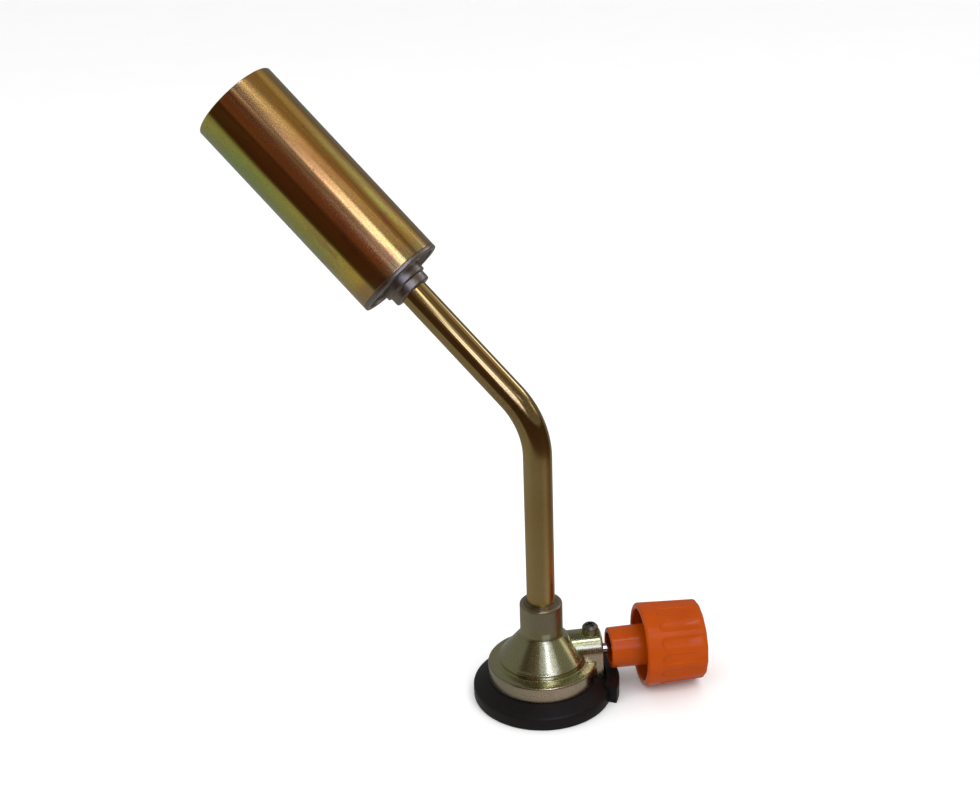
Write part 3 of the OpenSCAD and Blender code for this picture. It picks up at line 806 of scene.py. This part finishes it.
def make_tube():
    bm = bmesh.new()
    segs, walls = 72, []
    angles = [2 * math.pi * i / segs for i in range(segs)]
    for radius in (TUBE_R, TUBE_BORE):
        walls.append([[bm.verts.new(c + (u * math.cos(a) + v * math.sin(a)) * radius) for a in angles]
                      for c, u, v in tube_rows()])
    loop = walls[0] + walls[1][::-1]
    for p, q in zip(loop, loop[1:] + loop[:1]):
        for i in range(segs):
            k = (i + 1) % segs
            bm.faces.new((p[i], p[k], q[k], q[i]))
    place_piece(finish_mesh("delivery_pipe", bm), TORCH, "gold_tube", "delivery_tube")

    inner = TUBE_R + 0.01

    def bead(r, z, angle):
        swell = 0.05 * math.sin(5 * angle + 1) + 0.04 * math.sin(9 * angle)
        return (r, z) if r < inner + 0.01 else (r, z + swell * 0.8)

    pts = [(inner, 29.25), (5.03, 29.95), (4.5, 30.12), (inner, 30.32)]
    fillet = turned("solder_fillet", pts, [0, 0.1, 0.3, 0], segs=120, shape=bead)
    place_piece(fillet, TORCH, "solder", "tube_solder_ring")


def make_burner_base():
    lip = LIP_R - 0.05
    pts = [(TUBE_R, COLLAR_S), (COLLAR_R, COLLAR_S), (COLLAR_R, STEP_S), (STEP_R, STEP_S), (STEP_R, WEB_S),
           (WEB_R, WEB_S), (WEB_R, BASE_S), (FLAME_R, BASE_S), (FLAME_R, RIM_S), (lip, RIM_S), (lip, PLUG_S),
           (JET_R, PLUG_S), (JET_R, TUBE_END), (TUBE_R, TUBE_END)]
    radii = [0.3, 0.5, 0.3, 0.4, 0.7, 0.5, 0.2, 0.35, 0.12, 0, 0.3, 0.3, 0, 0]
    obj = turned("burner_back", pts, radii, BURNER, 192)
    flare = [(0, 42), (2.0, 42), (2.0, 44.2), (AIR_R, 44.7), (AIR_R, 49.7), (1.9, 50.1), (1.9, 52), (0, 52)]
    spots = [BURNER @ Matrix.Translation((*polar(AIR_PCD, 45 * k), 0)) for k in range(8)]
    cut(obj, *[lathe_cutter(spot, flare, 40) for spot in spots])
    place_piece(smooth(obj), TORCH, "grey_casting", "burner_base")


def make_jet():
    def hexagon(bm):
        pts = [(JET_R, WASHER_TOP), (HEX_R, WASHER_TOP), (HEX_R, HEX_TOP), (2.0, HEX_TOP)]
        spin(bm, pts, BURNER, 6)

    def core(bm):
        pts = [(JET_BORE, JET_FOOT), (JET_R, JET_FOOT), (JET_R, HEX_TOP), (2.2, HEX_TOP), (1.4, JET_TIP),
               (0.15, JET_TIP), (0.15, 52), (JET_BORE, 52)]
        spin(bm, rounded(pts, [0.1, 0.3, 0, 0, 0.2, 0, 0, 0]), BURNER, 64)

    place_piece(join_bm("gas_jet_brass", [core]), TORCH, "turned_brass", "gas_jet")
    place_piece(soften(join_bm("gas_jet_hexagon", [hexagon]), 0.18), TORCH, "turned_brass", "gas_jet")
    ring = [(JET_R, PLUG_S), (HEX_R, PLUG_S), (HEX_R, WASHER_TOP), (JET_R, WASHER_TOP)]
    washer = turned("jet_washer_copper", ring, [0.05, 0.15, 0.15, 0.05], BURNER, 64)
    place_piece(washer, TORCH, "turned_brass", "jet_washer")
    pad = [(0, 45), (JET_BORE, 45), (JET_BORE, 45.6), (0, 45.6)]
    gauze = turned("jet_gauze_disc", pad, [0, 0.1, 0.1, 0], BURNER, 48, closed=False)
    cut(gauze, *[rod(BURNER, 0.22, 44.5, 46, 16, *polar(0.9, 60 * k)) for k in range(6)])
    place_piece(smooth(gauze), TORCH, "sintered_bronze", "jet_gauze")


def make_burner_inside():
    t = SHEET
    pts = [(LIP_R, PLUG_S), (LIP_R, PLUG_S + 3), (THROAT_R, 62), (THROAT_R, 80), (FUNNEL_R, HOLDER_S),
           (FUNNEL_R - t, HOLDER_S), (THROAT_R - t, 80.2), (THROAT_R - t, 61.7), (LIP_R - t, PLUG_S + 2.7),
           (LIP_R - t, PLUG_S)]
    venturi = turned("mixing_venturi", pts, [0.1, 1.2, 4, 4, 0.1, 0.1, 4, 4, 1.2, 0.1], BURNER, 128)
    place_piece(venturi, TORCH, "plain_steel", "mixing_tube")
    base, face, inner = HOLDER_S, HOLDER_S + HOLDER_T, LIP_R - HOLDER_WALL
    pts = [(0, base), (LIP_R, base), (LIP_R, HOLDER_RIM), (inner, HOLDER_RIM), (inner, face), (0, face)]
    obj = turned("flame_holder_cup", pts, [0, 0.5, 0.2, 0.2, 0.8, 0], BURNER, 160, closed=False)

    def hole(radius, x=0.0, y=0.0):
        wide = radius + 0.25
        flare = [(0, base - 1), (radius, base - 1), (radius, face - 0.2), (wide, face + 0.02),
                 (wide, face + 0.5), (0, face + 0.5)]
        return lathe_cutter(BURNER @ Matrix.Translation((x, y, 0)), flare, 32)

    cut(obj, hole(2.4), *[hole(1.5, *polar(6.2, 45 * k)) for k in range(8)],
        *[hole(0.6, *polar(9.8, 22.5 * k)) for k in range(16)])
    place_piece(smooth(obj), TORCH, "plain_steel", "flame_holder")


def make_flame_tube():
    pts = [(LIP_R, RIM_S), (FLAME_R, RIM_S), (FLAME_R, MOUTH_S), (MOUTH_R, MOUTH_S), (MOUTH_R, HOLDER_RIM),
           (LIP_R, HOLDER_RIM)]
    obj = turned("flame_tube_shell", pts, [0, 0.15, 0.22, 0.2, 0, 0.1], BURNER, 224)
    place_piece(obj, TORCH, "iridescent_steel", "flame_tube")


def flute(z, angle):
    """How deep a grip flute cuts at this place on the knob's outside. Each one starts with a round end."""
    run = max(0.0, min(1.0, (z - FLUTE_X) / 1.8))
    pitch = 2 * math.pi / FLUTES
    off = (angle + pitch / 2) % pitch - pitch / 2
    half = 0.33 * pitch * math.sqrt(1 - (1 - run) ** 2)
    if run <= 0 or abs(off) >= half:
        return 0.0
    fade = 1 - 0.6 * max(0.0, min(1.0, (z - 41) / 4))
    return FLUTE_DEPTH * fade * (1 - (off / half) ** 2) ** 0.6


def make_knob():
    grip_r = KNOB_END_R - 1.6

    def shape(r, z, angle):
        if r < grip_r or z < SKIRT_X + 2:
            return r, z
        fade = max(0.0, min(1.0, (r - KNOB_END_R + 1.6) / 1.1))
        return r - flute(z, angle) * fade, z

    pts = [(0, BLIND_X), (SPINDLE_R, SHAFT_END), (SPINDLE_R, HUB_BORE_X), (HUB_INNER_R, HUB_BORE_X),
           (HUB_INNER_R, HUB_X), (HUB_R, HUB_X), (HUB_R + 0.35, WEB_X), (KNOB_END_R - SKIRT_T, WEB_X),
           (SKIRT_R - SKIRT_T, SKIRT_X), (SKIRT_R, SKIRT_X)]
    radii = [0, 0, 0, 0.3, 0.45, 0.45, 0.6, 0.8, 0.6, 0.85]
    count, first, last = 40, 31, 44.7
    for k in range(count):
        x = first + (last - first) * k / (count - 1)
        pts.append((SKIRT_R + (KNOB_END_R - SKIRT_R) * (x - SKIRT_X) / (KNOB_X - SKIRT_X), x))
        radii.append(0)
    pts += [(KNOB_END_R, KNOB_X), (0, KNOB_X)]
    radii += [KNOB_ROUND, 0]
    obj = turned("knob_moulding", pts, radii, SPINDLE, 384, closed=False, shape=shape)
    place_piece(obj, KNOB, "knob_plastic", "knob")


# ---------------------------------------------------------------- studio


WARM, COOL, KEY_LIGHT = (1.0, 0.60, 0.36), (0.92, 0.98, 1.2), (2.3, 2.5, 3.9)
# What the metal mirrors: azimuth from, to, slope, elevation from, to, softness (degrees), strength, colour.
# The elevations hold at azimuth 0 and rise by the slope with each degree of azimuth.
LAMPS = (
    (5, 30, 0.25, 41.8, 46.5, 2.2, 2.9, COOL),
    (6, 24, 0.48, 35.9, 37.6, 1.2, 2.6, COOL),
    (-19, -6, 0, 44.5, 50, 1.5, 0.9, COOL),
    (28, 42, 0, 36.5, 42, 1.5, 0.8, COOL),
    (12, 60, 0, -40, -24, 6.0, 0.035, (1, 0.95, 0.9)),
    (8, 34, 0, 62.8, 70, 1.8, 7.5, COOL),
    (87, 98, 0, 16, 26, 2.5, 1.0, (1, 0.95, 0.8)),
    (12, 68, 0, 52.5, 60.5, 3.0, 0.34, (1, 0.95, 0.85)),
    (30, 58, 0, 58, 63, 2.0, 0.5, (1, 0.97, 0.92)),
    (40, 92, 0, 44, 52, 4.0, 0.05, WARM),
    (60, 128, 0, 52, 66, 3.0, 0.14, (1, 0.85, 0.65)),
    (108, 124, 0, 22, 31, 2.5, 3.1, COOL),
    (86, 136, 0, 22, 49, 5.0, 0.19, (1, 0.97, 0.92)),
    (14, 27, 0, 40.5, 44.5, 2.0, 0.3, (1, 0.95, 0.9)),
)
SHADE_TINT = (1.0, 0.62, 0.42)
# Dark gaps: azimuth from, to, slope, elevation from, to, softness, depth
SHADES = (
    (-71, 112, -0.05, -24, 12, 2.2, 0.66),
    (-78, -42, 0, 10, 43, 5.0, 0.78),
    (-46, -14, 0, 13, 46, 4.0, 0.3),
    (52, 90, 0, 41, 51.5, 3.0, 0.05),
)


def make_dome():
    """A tent that only mirror reflections see, with soft boxes and dark gaps."""
    bm = bmesh.new()
    bmesh.ops.create_uvsphere(bm, u_segments=64, v_segments=32, radius=12000)
    obj = finish_mesh("reflection_tent", bm)
    m, n = new_material("tent_glow")
    v = n.vmath("NORMALIZE", n.make("ShaderNodeTexCoord").outputs["Object"])
    x, y, z = n.split(v)
    az = n.around(x, y)
    el = n.math("MULTIPLY", n.math("ARCSINE", z), DEGREES)
    height = n.mapped(el, -90, 90, 0, 1)
    light = n.ramp(height, [((e + 90) / 180, (b, b, b * 0.97)) for e, b in (
        (-90, 0.27), (-24, 0.27), (-14, 0.2), (40, 0.2), (52, 0.12), (90, 0.11))])

    def patch(a0, a1, slope, e0, e1, soft):
        rise = n.math("SUBTRACT", el, n.math("MULTIPLY", az, slope))
        return n.math("MULTIPLY", n.window(az, a0, a1, soft), n.window(rise, e0, e1, soft))

    for *where, depth in SHADES:
        light = n.tinted(patch(*where), light, tuple(c * (1 - depth) for c in SHADE_TINT))
    # the biggest soft box stands in front, its top edge aslant and a dimmer slit down it
    key = n.math("MULTIPLY", n.window(az, -13, 14, 1.6), n.window(el, 18.5, 38, 2.2))
    key = n.math("MULTIPLY", key, n.step(n.math("SUBTRACT", el, n.math("MULTIPLY", az, 0.8)), 36.8, 34.6))
    slit = n.mapped(n.window(az, -5, -1.5, 1.5), 0, 1, 1, 0.45)
    light = n.mix(1.0, light, n.mix(n.math("MULTIPLY", key, slit), (0, 0, 0), KEY_LIGHT), "ADD")
    for *where, power, tint in LAMPS:
        light = n.mix(1.0, light, n.mix(patch(*where), (0, 0, 0), tuple(power * c for c in tint)), "ADD")
    em = n.make("ShaderNodeEmission")
    n.put(em.inputs[0], light)
    n.output(em)
    obj.data.materials.append(m)
    obj.visible_camera = obj.visible_diffuse = obj.visible_shadow = False
    obj.visible_transmission = obj.visible_volume_scatter = False


def make_floor():
    bm = bmesh.new()
    bmesh.ops.create_circle(bm, cap_ends=True, radius=2300, segments=96)
    obj = finish_mesh("floor", bm)
    m, n = new_material("pale_floor")
    v = n.coords()
    col = n.mix(n.mapped(n.noise(v, 0.02, 2), 0.3, 0.7, 0, 1), (0.955, 0.955, 0.955), (0.97, 0.97, 0.97))
    n.principled(col, 0.7, 0.0, Specular_IOR_Level=0.2)
    obj.data.materials.append(m)
    obj.visible_glossy = False


def area(name, where, look, size, power):
    data = bpy.data.lights.new(name, "AREA")
    data.shape, data.size, data.energy = "DISK", size, power
    obj = bpy.data.objects.new(name, data)
    obj.location = where
    obj.rotation_euler = (Vector(look) - Vector(where)).to_track_quat("-Z", "Y").to_euler()
    obj.visible_glossy = obj.visible_camera = False
    bpy.context.collection.objects.link(obj)


def make_studio():
    make_dome()
    make_floor()
    world = bpy.data.worlds.new("studio")
    world.use_nodes = True
    world.node_tree.nodes["Background"].inputs[0].default_value = (1, 1, 1, 1)
    world.node_tree.nodes["Background"].inputs[1].default_value = 1.0
    bpy.context.scene.world = world
    area("key", (0.35, -0.6, 1.0), (0, 0, 0.08), 0.7, 4.0)
    area("fill", (-0.8, -0.5, 0.7), (0, 0, 0.08), 0.8, 1.8)
    bpy.context.scene.view_settings.view_transform = "Standard"
    bpy.context.scene.view_settings.look = "None"


make_camera()
make_materials()
make_lock_ring()
make_bayonet()
make_plate_screws()
make_valve_body()
make_inlet()
make_spindle()
make_gland()
make_tube()
make_burner_base()
make_jet()
make_burner_inside()
make_flame_tube()
make_knob()
make_studio()
